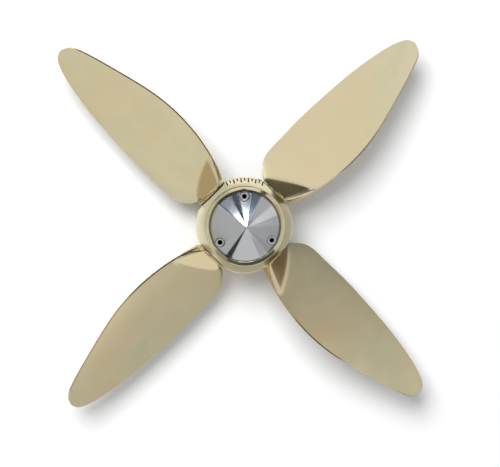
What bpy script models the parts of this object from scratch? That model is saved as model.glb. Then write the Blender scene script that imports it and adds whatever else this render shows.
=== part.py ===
"""Four-blade feathering propeller for a yacht, lying on the forward face of its hub.

Metres, +Z up. The shaft axis is Z and points aft, the origin is the middle of the forward
hub face, and the blades leave the hub along lines at 45 degrees to X and Y. Each blade turns
about its own radial line, which is set here at the pitch for going ahead.
"""

import math

import bmesh
import bpy
from mathutils import Matrix, Vector

# Driving dimensions

TIP_RADIUS = 0.280
BLADE_COUNT = 4
FIRST_BLADE_ANGLE = math.radians(45)
AHEAD_PITCH = math.radians(25)
GAP = 0.0003
RUNNING_GAP = 0.0004
EXCESS = 0.0100

# Hub, a barrel split at the blade plane that narrows towards the shaft

HUB_HEIGHT = 0.0790
HUB_RADIUS = 0.0538
WIDEST_HEIGHT = 0.0660
BLADE_PLANE = 0.0500
FORE_SHOULDER = 0.0060
FORE_SHOULDER_RADIUS = 0.0475
FORE_FACE_RADIUS = 0.0452
BARREL_BEND = 1.25
CHAMFER_FOOT = 0.0692
CHAMFER_FOOT_RADIUS = 0.0530
LIP_RADIUS = 0.0440
LIP_INNER_RADIUS = 0.0410
LIP_DROP = 0.0014
LIP_EDGE = 0.0007
FLAT_DISTANCE = 0.0488
RECESS_RADIUS = 0.0405
RECESS_FLOOR = 0.0700
NUT_ROOM_RADIUS = 0.0215

# Blade foot and its seat in the hub

FOOT_RADIUS = 0.0185
FOOT_START = FLAT_DISTANCE + 0.0011
FOOT_RIM = 0.0015
JOURNAL_RADIUS = 0.0130
COLLAR_RADIUS = 0.0165
COLLAR_OUTER_END = 0.0430
COLLAR_INNER_END = 0.0370

# Blade outline: distance from the shaft axis, then distance from the blade's own axis

RAISED_EDGE = (
    (0.0542, -0.0212),
    (0.0600, -0.0245),
    (0.0750, -0.0303),
    (0.1000, -0.0365),
    (0.1350, -0.0400),
    (0.1700, -0.0374),
    (0.2050, -0.0292),
    (0.2400, -0.0190),
    (0.2640, -0.0108),
    (0.2760, -0.0032),
)
LOWER_EDGE = (
    (0.0542, 0.0246),
    (0.0600, 0.0308),
    (0.0670, 0.0364),
    (0.0740, 0.0389),
    (0.0950, 0.0403),
    (0.1300, 0.0409),
    (0.1650, 0.0392),
    (0.2000, 0.0364),
    (0.2320, 0.0316),
    (0.2544, 0.0264),
    (0.2700, 0.0204),
    (0.2770, 0.0150),
)
TIP_OFFSET = 0.0065
RIB_COUNT = 18

# Blade section: a lens with round blunt edges, which turns into a disc at the foot

FACE_POINTS = 9
EDGE_ARC = math.radians(24)
EDGE_HALF_THICKNESS = 0.0012
ROOT_HALF_THICKNESS = 0.0062
TIP_HALF_THICKNESS = 0.0016
FILLET_LENGTH = 0.0260
FILLET_BEND = 2.6
DISC_BEND = 4.0

# Cone cap and its three screws

CAP_RADIUS = 0.0387
CAP_RIM = 0.0780
CAP_EDGE = 0.0004
CAP_APEX = 0.0950
CAP_TIP_RADIUS = 0.0006
CAP_ROOM_RADIUS = 0.0200
CAP_ROOM_HEIGHT = 0.0060
CAP_SCREW_CIRCLE = 0.0332
CAP_SCREW_ANGLES = tuple(math.radians(92 + 120 * i) for i in range(3))
CAP_SCREW_TOP = 0.0797
CAP_SCREW_END = 0.0620

# Drive sleeve and shaft nut

SLEEVE_RADIUS = 0.0240
SLEEVE_BORE_LARGE = 0.0150
SLEEVE_BORE_SMALL = 0.0123
SLEEVE_START = 0.0010
SLEEVE_END = 0.0550
KEYWAY_WIDTH = 0.0080
KEYWAY_DEPTH = 0.0035
WASHER_RADIUS = 0.0190
WASHER_THICKNESS = 0.0015
NUT_ACROSS_FLATS = 0.0300
NUT_BORE = 0.0095
NUT_TOP = 0.0690

# Forward cover, hub bolts and grease plug

COVER_RADIUS = 0.0322
COVER_THICKNESS = 0.0055
COVER_SCREW_CIRCLE = 0.0283
COVER_SCREWS = 6
COVER_SCREW_DEPTH = 0.0009
COVER_SCREW_END = 0.0134
COVER_HOLE_END = 0.0140
HUB_BOLT_CIRCLE = 0.0387
HUB_BOLTS = 4
HUB_BOLT_DEPTH = 0.0007
HUB_BOLT_END = 0.0640
PLUG_RADIUS = 0.0040
PLUG_LENGTH = 0.0073
PLUG_HEIGHT = 0.0600
PLUG_SLOT = (0.0012, 0.0020)

# Socket-head screws: shank radius, head radius, head height and half the key size

M6 = (0.0030, 0.0049, 0.0060, 0.0025)
M5 = (0.0025, 0.0042, 0.0050, 0.0020)
M3 = (0.0015, 0.00275, 0.0030, 0.00125)
HEAD_BEVEL = 0.0004
KEY_DEPTH_SHARE = 0.55

# Sides of round pieces, from large to small

TURN_STEPS = 60
PORT_STEPS = 32
SMALL_STEPS = 18
SHARP_ANGLE = math.radians(35)


def clear_scene():
    """Remove what a new file holds."""
    for obj in list(bpy.data.objects):
        bpy.data.objects.remove(obj, do_unlink=True)


def make_material(name, colour, roughness, metallic):
    """A Principled material of one colour."""
    material = bpy.data.materials.new(name)
    material.use_nodes = True
    shader = material.node_tree.nodes["Principled BSDF"]
    shader.inputs["Base Color"].default_value = (*colour, 1.0)
    shader.inputs["Roughness"].default_value = roughness
    shader.inputs["Metallic"].default_value = metallic
    return material


def add_object(name, bm, material=None):
    """Link a bmesh into the scene as one object, with its faces out and its round faces smooth."""
    bmesh.ops.recalc_face_normals(bm, faces=bm.faces)
    mesh = bpy.data.meshes.new(name)
    bm.to_mesh(mesh)
    bm.free()
    mesh.shade_smooth()
    mesh.set_sharp_from_angle(angle=SHARP_ANGLE)
    if material:
        mesh.materials.append(material)
    obj = bpy.data.objects.new(name, mesh)
    bpy.context.scene.collection.objects.link(obj)
    return obj


def turned(profile, steps=TURN_STEPS):
    """Spin a closed or axis-to-axis profile of (radius, height) points about Z."""
    bm = bmesh.new()
    verts = [bm.verts.new((radius, 0.0, height)) for radius, height in profile]
    edges = [bm.edges.new(pair) for pair in zip(verts, verts[1:])]
    if profile[0][0] > 0.0:
        edges.append(bm.edges.new((verts[-1], verts[0])))
    bmesh.ops.spin(
        bm, geom=verts + edges, axis=(0, 0, 1), cent=(0, 0, 0),
        angle=2 * math.pi, steps=steps, use_merge=True,
    )
    bmesh.ops.remove_doubles(bm, verts=bm.verts, dist=1e-6)
    return bm


def add_prism(bm, sides, radius, place, start, end):
    """Add a regular prism along the Z of a placing matrix."""
    middle = place @ Matrix.Translation((0, 0, (start + end) / 2))
    bmesh.ops.create_cone(
        bm, cap_ends=True, segments=sides, radius1=radius, radius2=radius,
        depth=end - start, matrix=middle,
    )


def add_block(bm, size, place):
    """Add a box of the given size, centred by a placing matrix."""
    bmesh.ops.create_cube(bm, size=1.0, matrix=place @ Matrix.Diagonal((*size, 1.0)))


def cut(target, bm, name):
    """Cut the closed bodies of a bmesh out of an object with a Boolean."""
    cutter = add_object(name, bm)
    cutter.hide_render = True
    cutter.display_type = "WIRE"
    modifier = target.modifiers.new(name, "BOOLEAN")
    modifier.operation = "DIFFERENCE"
    modifier.solver = "EXACT"
    modifier.object = cutter


def drill(target, name, places, radius, start, end, sides=SMALL_STEPS):
    """Drill a plain hole at each placing matrix, between two distances along its Z."""
    bm = bmesh.new()
    for place in places:
        add_prism(bm, sides, radius, place, start, end)
    cut(target, bm, name)


def on_circle(radius, angles):
    """Placing matrices for things parallel to the shaft, on a circle round it."""
    shift = Matrix.Translation((radius, 0, 0))
    return [Matrix.Rotation(angle, 4, "Z") @ shift for angle in angles]


def radial(angle, height):
    """Placing matrix whose Z runs outward from the shaft axis at a height."""
    lift = Matrix.Translation((0, 0, height))
    return lift @ Matrix.Rotation(angle, 4, "Z") @ Matrix.Rotation(math.pi / 2, 4, "Y")


def evenly(count, first=0.0):
    """Angles evenly spaced round the shaft."""
    return [first + 2 * math.pi * i / count for i in range(count)]


def blade_angles():
    """The directions in which the blades leave the hub."""
    return evenly(BLADE_COUNT, FIRST_BLADE_ANGLE)


def blade_places():
    """Placing matrices whose Z is each blade's own axis."""
    return [radial(angle, BLADE_PLANE) for angle in blade_angles()]


# Blade


def spline(points, shares):
    """Points at given shares of the length of a smooth curve through the points."""
    pieces = 12
    ends = [points[0] * 2 - points[1], *points, points[-1] * 2 - points[-2]]
    fine = []
    for a, b, c, d in zip(ends, ends[1:], ends[2:], ends[3:]):
        for step in range(pieces):
            t = step / pieces
            bend = 2 * a - 5 * b + 4 * c - d
            twist = 3 * b - a - 3 * c + d
            fine.append(0.5 * (2 * b + (c - a) * t + bend * t ** 2 + twist * t ** 3))
    fine.append(points[-1])
    lengths = [0.0]
    for a, b in zip(fine, fine[1:]):
        lengths.append(lengths[-1] + (b - a).length)
    found = []
    for share in shares:
        want = share * lengths[-1]
        i = max(1, next(n for n, length in enumerate(lengths) if length >= want - 1e-9))
        t = (want - lengths[i - 1]) / (lengths[i] - lengths[i - 1])
        found.append(fine[i - 1].lerp(fine[i], t))
    return found


def section_stations():
    """Points round a section: angle on the foot's disc, place across the leaf, turn of the skin."""
    half_arc = EDGE_ARC / 2
    half_loop = []
    for i in range(FACE_POINTS):
        angle = half_arc + (math.pi - EDGE_ARC) * i / (FACE_POINTS - 1)
        half_loop.append((angle, math.cos(angle) / math.cos(half_arc), math.pi / 2))
    for step in (-1, 0, 1):
        half_loop.append((math.pi + step * half_arc / 2, -1.0, math.pi + step * math.pi / 4))
    return half_loop + [(angle + math.pi, -across, turn + math.pi)
                        for angle, across, turn in half_loop]


def rib(raised, lower, stations):
    """One cross-section between two points of the outline, as a loop of points."""
    middle = (raised + lower) / 2
    across_leaf = (lower - raised).normalized()
    half = (lower - raised).length / 2
    outward = (middle.x - FOOT_START) / (TIP_RADIUS - FOOT_START)
    plate = ROOT_HALF_THICKNESS + (TIP_HALF_THICKNESS - ROOT_HALF_THICKNESS) * outward
    footing = max(0.0, 1.0 - max(0.0, middle.x - FOOT_START - FOOT_RIM) / FILLET_LENGTH)
    height = plate + (FOOT_RADIUS - plate) * footing ** FILLET_BEND
    disc = footing ** DISC_BEND
    edge = EDGE_HALF_THICKNESS
    points = []
    for angle, across, turn in stations:
        crown = math.copysign((height - edge) * (1 - across ** 2), math.sin(turn))
        leaf_y = (half - edge) * across + edge * math.cos(turn)
        leaf_z = edge * math.sin(turn) + crown
        y = disc * half * math.cos(angle) + (1 - disc) * leaf_y
        z = disc * height * math.sin(angle) + (1 - disc) * leaf_z
        points.append(middle + across_leaf * y + Vector((0, 0, z)))
    return points


def leaf_ribs(stations):
    """The cross-sections from the rim of the foot to the tip."""
    start = FOOT_START + FOOT_RIM
    tip = (TIP_RADIUS, TIP_OFFSET)
    raised = [Vector((*point, 0)) for point in ((start, -FOOT_RADIUS), *RAISED_EDGE, tip)]
    lower = [Vector((*point, 0)) for point in ((start, FOOT_RADIUS), *LOWER_EDGE, tip)]
    shares = [(1 - math.cos(math.pi * i / RIB_COUNT)) / 2 for i in range(RIB_COUNT)]
    return [rib(a, b, stations) for a, b in zip(spline(raised, shares), spline(lower, shares))]


def foot_rounds(stations):
    """The round sections of the collar, the journal and the foot's inner face."""
    rounds = (
        (COLLAR_RADIUS, COLLAR_INNER_END),
        (COLLAR_RADIUS, COLLAR_OUTER_END),
        (JOURNAL_RADIUS, COLLAR_OUTER_END),
        (JOURNAL_RADIUS, FOOT_START),
        (FOOT_RADIUS, FOOT_START),
    )
    return [
        [Vector((place, radius * math.cos(a), radius * math.sin(a))) for a, _, _ in stations]
        for radius, place in rounds
    ]


def blade_bmesh():
    """Leaf, round foot, journal and collar of one blade, which lies along +X."""
    stations = section_stations()
    bm = bmesh.new()
    loops = [[bm.verts.new(point) for point in loop]
             for loop in foot_rounds(stations) + leaf_ribs(stations)]
    for inner, outer in zip(loops, loops[1:]):
        for i in range(len(inner)):
            j = (i + 1) % len(inner)
            bm.faces.new((inner[i], inner[j], outer[j], outer[i]))
    bm.faces.new(loops[0])
    bm.faces.new(loops[-1])
    return bm


def add_blades(bronze):
    """The four blades, each under an empty on its own pitch axis."""
    for number, angle in enumerate(blade_angles(), 1):
        axis = bpy.data.objects.new(f"blade_{number}_axis", None)
        axis.location = (0, 0, BLADE_PLANE)
        axis.rotation_euler = (0, 0, angle)
        bpy.context.scene.collection.objects.link(axis)
        blade = add_object(f"blade_{number}", blade_bmesh(), bronze)
        blade.parent = axis
        blade.rotation_euler = (-AHEAD_PITCH, 0, 0)


def add_seals(rubber):
    """A thin ring between each blade foot and its flat on the hub."""
    inner = JOURNAL_RADIUS + 2 * RUNNING_GAP
    outer = FOOT_RADIUS - RUNNING_GAP
    low = FLAT_DISTANCE + GAP
    high = FOOT_START - GAP
    profile = ((inner, low), (outer, low), (outer, high), (inner, high))
    for number, place in enumerate(blade_places(), 1):
        bm = turned(profile, PORT_STEPS)
        bmesh.ops.transform(bm, matrix=place, verts=bm.verts)
        add_object(f"blade_seal_{number}", bm, rubber)


# Hub


def barrel_point(height):
    """Point on the outside of the barrel at a height, as (radius, height)."""
    down = (WIDEST_HEIGHT - height) / (WIDEST_HEIGHT - FORE_SHOULDER)
    return (HUB_RADIUS - (HUB_RADIUS - FORE_SHOULDER_RADIUS) * down ** BARREL_BEND, height)


def cut_flats(target, name):
    """Mill the four flats for the blade feet."""
    bm = bmesh.new()
    size = (2 * HUB_HEIGHT, 2 * HUB_RADIUS, EXCESS)
    for place in blade_places():
        add_block(bm, size, place @ Matrix.Translation((0, 0, FLAT_DISTANCE + EXCESS / 2)))
    cut(target, bm, name + "_flats")


def cut_ports(target, name):
    """Bore the stepped holes for the four journals."""
    places = blade_places()
    drill(target, name + "_journals", places, JOURNAL_RADIUS + RUNNING_GAP,
          COLLAR_INNER_END, FLAT_DISTANCE + EXCESS, PORT_STEPS)
    drill(target, name + "_collars", places, COLLAR_RADIUS + RUNNING_GAP,
          COLLAR_INNER_END - RUNNING_GAP, COLLAR_OUTER_END + RUNNING_GAP, PORT_STEPS)


def add_aft_half(bronze):
    """The half of the hub that shows in the view from astern."""
    seam = BLADE_PLANE + GAP / 2
    bore = SLEEVE_RADIUS + RUNNING_GAP
    ledge = SLEEVE_END + RUNNING_GAP
    profile = (
        (bore, seam),
        barrel_point(seam),
        barrel_point((seam + WIDEST_HEIGHT) / 2),
        barrel_point(WIDEST_HEIGHT),
        (CHAMFER_FOOT_RADIUS, CHAMFER_FOOT),
        (LIP_RADIUS + LIP_EDGE, HUB_HEIGHT - LIP_EDGE),
        (LIP_RADIUS, HUB_HEIGHT),
        (LIP_INNER_RADIUS, HUB_HEIGHT - LIP_DROP),
        (RECESS_RADIUS, HUB_HEIGHT - LIP_DROP - LIP_EDGE),
        (RECESS_RADIUS, RECESS_FLOOR),
        (NUT_ROOM_RADIUS, RECESS_FLOOR),
        (NUT_ROOM_RADIUS, ledge),
        (bore, ledge),
    )
    half = add_object("hub_aft_half", turned(profile), bronze)
    cut_flats(half, "aft")
    cut_ports(half, "aft")
    drill(half, "aft_bolt_holes", on_circle(HUB_BOLT_CIRCLE, evenly(HUB_BOLTS)),
          M5[0] + RUNNING_GAP, BLADE_PLANE - EXCESS, HUB_BOLT_END + GAP)
    drill(half, "aft_cap_holes", on_circle(CAP_SCREW_CIRCLE, CAP_SCREW_ANGLES),
          M6[0] + RUNNING_GAP, CAP_SCREW_END - GAP, HUB_HEIGHT)
    plug_top = barrel_point(PLUG_HEIGHT)[0] - GAP
    drill(half, "aft_plug_hole", [radial(-math.pi / 2, PLUG_HEIGHT)],
          PLUG_RADIUS + GAP, plug_top - PLUG_LENGTH - GAP, plug_top + EXCESS)


def add_forward_half(bronze):
    """The half of the hub that the propeller lies on."""
    seam = BLADE_PLANE - GAP / 2
    bore = SLEEVE_RADIUS + RUNNING_GAP
    seat = COVER_RADIUS + GAP
    ledge = COVER_THICKNESS + 2 * GAP
    middle = (FORE_SHOULDER + seam) / 2
    profile = (
        (seat, 0.0),
        (FORE_FACE_RADIUS, 0.0),
        barrel_point(FORE_SHOULDER),
        barrel_point(middle),
        barrel_point(seam),
        (bore, seam),
        (bore, ledge),
        (seat, ledge),
    )
    half = add_object("hub_forward_half", turned(profile), bronze)
    cut_flats(half, "forward")
    cut_ports(half, "forward")
    shank, head, height, _ = M5
    bolts = on_circle(HUB_BOLT_CIRCLE, evenly(HUB_BOLTS))
    drill(half, "forward_bolt_holes", bolts, shank + RUNNING_GAP, -EXCESS, BLADE_PLANE + EXCESS)
    drill(half, "forward_bolt_heads", bolts, head + RUNNING_GAP,
          -EXCESS, HUB_BOLT_DEPTH + height + GAP)
    drill(half, "forward_cover_holes", on_circle(COVER_SCREW_CIRCLE, evenly(COVER_SCREWS)),
          M3[0] + RUNNING_GAP, COVER_THICKNESS - EXCESS, COVER_HOLE_END)


# Screws


def add_screw(name, size, length, place, material):
    """One socket-head screw: the matrix puts its origin at the top of the head, Z outwards."""
    shank, head, height, key = size
    profile = (
        (0.0, -length),
        (shank, -length),
        (shank, -height),
        (head, -height),
        (head, -HEAD_BEVEL),
        (head - HEAD_BEVEL, 0.0),
        (0.0, 0.0),
    )
    bm = turned(profile, SMALL_STEPS)
    bmesh.ops.transform(bm, matrix=place, verts=bm.verts)
    screw = add_object(name, bm, material)
    corner = key / math.cos(math.pi / 6)
    drill(screw, name + "_key", [place], corner, -height * KEY_DEPTH_SHARE, EXCESS, sides=6)


def add_screw_ring(name, size, places, top, end, face_up, material):
    """A ring of like screws between the heights of their head tops and of their ends."""
    turn = Matrix.Identity(4) if face_up else Matrix.Rotation(math.pi, 4, "X")
    for number, place in enumerate(places, 1):
        screw_place = place @ Matrix.Translation((0, 0, top)) @ turn
        add_screw(f"{name}_{number}", size, abs(top - end), screw_place, material)


def add_screws(steel):
    """Cap screws from astern, hub bolts and cover screws from ahead."""
    add_screw_ring("cap_screw", M6, on_circle(CAP_SCREW_CIRCLE, CAP_SCREW_ANGLES),
                   CAP_SCREW_TOP, CAP_SCREW_END, True, steel)
    add_screw_ring("hub_bolt", M5, on_circle(HUB_BOLT_CIRCLE, evenly(HUB_BOLTS)),
                   HUB_BOLT_DEPTH, HUB_BOLT_END, False, steel)
    add_screw_ring("cover_screw", M3, on_circle(COVER_SCREW_CIRCLE, evenly(COVER_SCREWS)),
                   COVER_SCREW_DEPTH, COVER_SCREW_END, False, steel)


# Cone cap


def add_cap(zinc):
    """The cone over the shaft nut, held by three screws in counterbores."""
    base = RECESS_FLOOR + GAP
    cap = add_object("cone_cap", turned((
        (0.0, base),
        (CAP_RADIUS, base),
        (CAP_RADIUS, CAP_RIM - CAP_EDGE),
        (CAP_RADIUS - CAP_EDGE, CAP_RIM),
        (CAP_TIP_RADIUS, CAP_APEX),
        (0.0, CAP_APEX),
    )), zinc)
    room_top = base + CAP_ROOM_HEIGHT
    drill(cap, "cap_room", [Matrix.Identity(4)], CAP_ROOM_RADIUS, base - EXCESS, room_top)
    shank, head, height, _ = M6
    places = on_circle(CAP_SCREW_CIRCLE, CAP_SCREW_ANGLES)
    drill(cap, "cap_shank_holes", places, shank + RUNNING_GAP, base - EXCESS, CAP_RIM)
    drill(cap, "cap_counterbores", places, head + GAP, CAP_SCREW_TOP - height - GAP, CAP_APEX)


# Parts on the shaft


def add_sleeve(bronze):
    """The taper-bored sleeve that carries the hub on the shaft, with its keyway."""
    sleeve = add_object("drive_sleeve", turned((
        (SLEEVE_BORE_LARGE, SLEEVE_START),
        (SLEEVE_RADIUS, SLEEVE_START),
        (SLEEVE_RADIUS, SLEEVE_END),
        (SLEEVE_BORE_SMALL, SLEEVE_END),
    )), bronze)
    depth = SLEEVE_BORE_LARGE + KEYWAY_DEPTH
    bm = bmesh.new()
    add_block(bm, (depth, KEYWAY_WIDTH, 4 * SLEEVE_END), Matrix.Translation((depth / 2, 0, 0)))
    cut(sleeve, bm, "keyway")


def add_nut(steel, bronze):
    """The washer and hexagon nut that hold the sleeve on the shaft."""
    low = SLEEVE_END + GAP
    high = low + WASHER_THICKNESS
    hole = NUT_BORE + GAP
    add_object("shaft_washer", turned((
        (hole, low), (WASHER_RADIUS, low), (WASHER_RADIUS, high), (hole, high),
    ), PORT_STEPS), bronze)
    bm = bmesh.new()
    add_prism(bm, 6, NUT_ACROSS_FLATS / math.sqrt(3), Matrix.Identity(4), high + GAP, NUT_TOP)
    nut = add_object("shaft_nut", bm, steel)
    drill(nut, "nut_bore", [Matrix.Identity(4)], NUT_BORE, 0.0, HUB_HEIGHT)


def add_cover(bronze):
    """The ring that keeps the sleeve in the hub, flush in the forward face."""
    inner = SLEEVE_RADIUS + RUNNING_GAP
    cover = add_object("forward_cover", turned((
        (inner, GAP), (COVER_RADIUS, GAP), (COVER_RADIUS, COVER_THICKNESS),
        (inner, COVER_THICKNESS),
    )), bronze)
    shank, head, height, _ = M3
    places = on_circle(COVER_SCREW_CIRCLE, evenly(COVER_SCREWS))
    drill(cover, "cover_shank_holes", places, shank + RUNNING_GAP, -EXCESS, EXCESS)
    drill(cover, "cover_counterbores", places, head + GAP,
          -EXCESS, COVER_SCREW_DEPTH + height + GAP)


def add_plug(steel):
    """The grease plug in the side of the hub."""
    top = barrel_point(PLUG_HEIGHT)[0] - GAP
    slot_width, slot_depth = PLUG_SLOT
    place = radial(-math.pi / 2, PLUG_HEIGHT)
    bm = turned((
        (0.0, top - PLUG_LENGTH), (PLUG_RADIUS, top - PLUG_LENGTH), (PLUG_RADIUS, top), (0.0, top),
    ), SMALL_STEPS)
    bmesh.ops.transform(bm, matrix=place, verts=bm.verts)
    plug = add_object("grease_plug", bm, steel)
    bm = bmesh.new()
    add_block(bm, (EXCESS, slot_width, 2 * slot_depth), place @ Matrix.Translation((0, 0, top)))
    cut(plug, bm, "plug_slot")


def main():
    """Build the propeller."""
    clear_scene()
    bronze = make_material("polished_bronze", (0.72, 0.60, 0.38), 0.22, 1.0)
    machined = make_material("machined_bronze", (0.62, 0.48, 0.26), 0.32, 1.0)
    zinc = make_material("turned_zinc", (0.66, 0.67, 0.68), 0.30, 1.0)
    steel = make_material("stainless_steel", (0.56, 0.56, 0.57), 0.25, 1.0)
    rubber = make_material("seal_rubber", (0.05, 0.045, 0.04), 0.6, 0.0)
    add_blades(bronze)
    add_seals(rubber)
    add_aft_half(bronze)
    add_forward_half(bronze)
    add_cap(zinc)
    add_sleeve(machined)
    add_nut(steel, machined)
    add_cover(machined)
    add_plug(steel)
    add_screws(steel)


main()
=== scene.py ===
"""Looks of the four-blade feathering propeller: finishes, finer shapes and the studio.

Metres, +Z up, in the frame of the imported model. The shaft axis is Z and points aft, towards
the camera.
"""

import logging
import math
from dataclasses import dataclass, replace
from enum import Enum
from typing import Callable, Iterable, Sequence, Union

import bmesh
import bpy
import numpy as np
from mathutils import Matrix, Vector


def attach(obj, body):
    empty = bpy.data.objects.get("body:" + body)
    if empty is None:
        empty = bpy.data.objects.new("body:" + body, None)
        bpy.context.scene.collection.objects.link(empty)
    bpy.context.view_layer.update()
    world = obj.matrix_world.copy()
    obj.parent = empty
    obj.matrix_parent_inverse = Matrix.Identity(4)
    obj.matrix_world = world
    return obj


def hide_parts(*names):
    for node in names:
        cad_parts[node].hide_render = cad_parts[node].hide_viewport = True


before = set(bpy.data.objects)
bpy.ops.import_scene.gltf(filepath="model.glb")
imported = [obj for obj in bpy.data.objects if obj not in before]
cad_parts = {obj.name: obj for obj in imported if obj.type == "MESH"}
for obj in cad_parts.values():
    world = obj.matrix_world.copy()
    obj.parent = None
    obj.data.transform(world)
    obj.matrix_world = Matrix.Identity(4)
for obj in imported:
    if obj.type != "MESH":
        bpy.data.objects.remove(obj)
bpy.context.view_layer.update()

log = logging.getLogger("propeller")

PHOTO_WIDTH = 500
PHOTO_HEIGHT = 467
MIX_SHARE, MIX_COLOURS, MIX_RESULT = 0, (6, 7), 2
MERGE_DISTANCE = 1e-7
SIDE_SHARE = 0.45
CURVE_SAMPLES = 2000

Triple = tuple[float, float, float]
Colour = Triple
Point = tuple[float, float]


class Slot(Enum):
    """The record's material slots."""

    BRONZE = "polished_bronze"
    MACHINED = "machined_bronze"
    ZINC = "turned_zinc"
    STEEL = "stainless_steel"
    RUBBER = "seal_rubber"


class Body(Enum):
    """The body that a piece of the hub rides on; each blade is a body of its own."""

    HUB = "hub"


class Facing(Enum):
    """Which way the head of a screw looks along the shaft."""

    AFT = 1
    FORWARD = -1


# Shader maths


def operator_pair(operation: str) -> tuple[Callable, Callable]:
    """The methods of an operator and of its reflected form.

    Args:
        operation: what their Math node works out.

    Returns:
        The method with the signal first and the one with it last.
    """
    def plain(self: "Signal", other: "Number") -> "Signal":
        """The signal first."""
        return self.graph.math(operation, self, other)

    def reflected(self: "Signal", other: "Number") -> "Signal":
        """The signal last."""
        return self.graph.math(operation, other, self)

    return plain, reflected


class Signal:
    """A shader socket that takes part in Python arithmetic."""

    def __init__(self, graph: "Graph", socket: bpy.types.NodeSocket) -> None:
        """Keep the socket and the graph that it is in."""
        self.graph = graph
        self.socket = socket

    __add__, __radd__ = operator_pair("ADD")
    __sub__, __rsub__ = operator_pair("SUBTRACT")
    __mul__, __rmul__ = operator_pair("MULTIPLY")
    __pow__, __rpow__ = operator_pair("POWER")

    def __abs__(self) -> "Signal":
        """Size without sign."""
        return self.graph.math("ABSOLUTE", self)

    def wrapped(self, low: float, high: float) -> "Signal":
        """The value brought round into a range, as an angle is."""
        return self.graph.math("WRAP", self, high, low)

    def step(self, start: float, end: float) -> "Signal":
        """A smooth climb from 0 at start to 1 at end, either way round."""
        return self.graph.signal(
            "ShaderNodeMapRange", "Result", {"interpolation_type": "SMOOTHSTEP"},
            {"Value": self, "From Min": start, "From Max": end, "To Min": 0.0, "To Max": 1.0},
        )


Number = Union[Signal, float]


class Graph:
    """A node tree with one way to add any node."""

    def __init__(self, tree: bpy.types.NodeTree) -> None:
        """Empty the tree and keep it."""
        self.tree = tree
        tree.nodes.clear()

    def node(self, kind: str, settings: dict | None = None,
             inputs: dict | None = None) -> bpy.types.Node:
        """Add a node.

        Args:
            kind: the node's type.
            settings: its own properties, which are set first.
            inputs: values or links of its sockets, by name or number.

        Returns:
            The node.
        """
        made = self.tree.nodes.new(kind)
        for key, value in (settings or {}).items():
            setattr(made, key, value)
        for key, value in (inputs or {}).items():
            socket = made.inputs[key]
            if isinstance(value, Signal):
                self.tree.links.new(value.socket, socket)
            elif isinstance(value, bpy.types.NodeSocket):
                self.tree.links.new(value, socket)
            else:
                socket.default_value = value
        return made

    def signal(self, kind: str, output: str, settings: dict | None = None,
               inputs: dict | None = None) -> Signal:
        """Add a node, as node() does, and take the output of that name as a signal."""
        return Signal(self, self.node(kind, settings, inputs).outputs[output])

    def math(self, operation: str, *values: Number) -> Signal:
        """Add a Math node for an operation on values, in their order."""
        inputs = dict(enumerate(values))
        return self.signal("ShaderNodeMath", "Value", {"operation": operation}, inputs)

    def colour_mix(self, share: Number, first: "Paint", second: "Paint") -> Signal:
        """Blend two colours.

        Args:
            share: how much of the second is in.
            first: the colour at 0.
            second: the colour at 1.

        Returns:
            The blend.
        """
        paints = (paint if isinstance(paint, Signal) else (*paint, 1.0)
                  for paint in (first, second))
        inputs = {MIX_SHARE: share, **dict(zip(MIX_COLOURS, paints))}
        mixed = self.node("ShaderNodeMix", {"data_type": "RGBA", "clamp_factor": True}, inputs)
        return Signal(self, mixed.outputs[MIX_RESULT])

    def noise(self, place: Signal, scale: float, detail: float = 3.0,
              roughness: float = 0.5) -> Signal:
        """Soft noise from 0 to 1.

        Args:
            place: the coordinates.
            scale: how fine it is.
            detail: how many finer layers it has.
            roughness: how strong those are.

        Returns:
            The noise.
        """
        return self.signal(
            "ShaderNodeTexNoise", "Fac", {"noise_dimensions": "3D"},
            {"Vector": place, "Scale": scale, "Detail": detail, "Roughness": roughness},
        )

    def place(self, scale: Sequence[float] = (1, 1, 1),
              turn: Sequence[float] = (0, 0, 0)) -> Signal:
        """Object coordinates, turned and stretched.

        Args:
            scale: stretch along each axis.
            turn: turn about each axis, in radians.

        Returns:
            The coordinates.
        """
        here = self.signal("ShaderNodeTexCoord", "Object")
        return self.signal("ShaderNodeMapping", "Vector", {"vector_type": "POINT"},
                           {"Vector": here, "Scale": scale, "Rotation": turn})

    def parts_of(self, vector: Signal) -> tuple[Signal, Signal, Signal]:
        """The three parts of a vector."""
        split = self.node("ShaderNodeSeparateXYZ", None, {0: vector})
        return tuple(Signal(self, part) for part in split.outputs)

    def bump(self, height: Signal, distance: float, strength: float = 1.0,
             under: Signal | None = None) -> Signal:
        """A bump from a height signal.

        Args:
            height: 0 to 1.
            distance: what a height of 1 stands for, in metres.
            strength: how much of it shows.
            under: a bump that this one lies on.

        Returns:
            The normal.
        """
        inputs = {"Height": height, "Distance": distance, "Strength": strength}
        if under is not None:
            inputs["Normal"] = under
        return self.signal("ShaderNodeBump", "Normal", None, inputs)


Paint = Union[Signal, Colour]


# Finishes


@dataclass(frozen=True)
class Finish:
    """A surface finish, which makes its own material."""

    name: str
    slot: Slot | None

    def shade(self, graph: Graph) -> dict:
        """Values and signals for the Principled shader by socket name; each finish has its own."""
        raise NotImplementedError

    def material(self) -> bpy.types.Material:
        """The material, made once and used again after that."""
        found = bpy.data.materials.get(self.name)
        if found:
            return found
        made = bpy.data.materials.new(self.name)
        made.use_nodes = True
        graph = Graph(made.node_tree)
        shader = graph.node("ShaderNodeBsdfPrincipled", None, self.shade(graph))
        graph.node("ShaderNodeOutputMaterial", None, {"Surface": shader.outputs[0]})
        return made


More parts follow.
